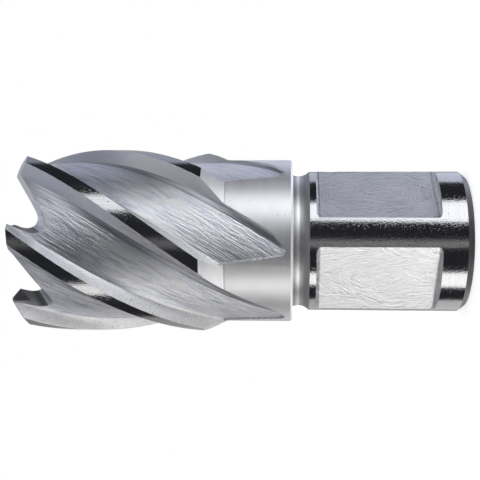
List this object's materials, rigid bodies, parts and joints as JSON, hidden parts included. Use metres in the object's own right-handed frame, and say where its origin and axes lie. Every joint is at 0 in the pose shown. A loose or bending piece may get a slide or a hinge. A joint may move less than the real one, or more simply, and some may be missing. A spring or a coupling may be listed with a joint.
{
  "type": "annular cutter",
  "caption": "Hollow hole-cutting tool of ground steel: helical flutes and alternately ground teeth around a slug cavity, a plain collar, and a round shank with drive flats and a pilot bore",
  "frame": {"origin": "centre of the shank's end face, on the surface that the cutter stands on", "axes": "+Z along the tool axis from the shank to the teeth; the two drive flats face +X and -Y"},
  "size_m": [0.025, 0.025, 0.0605],
  "materials": {
    "steel": "polished"
  },
  "bodies": {
    "root": {"cutter_body": "steel"}
  },
  "joints": []
}
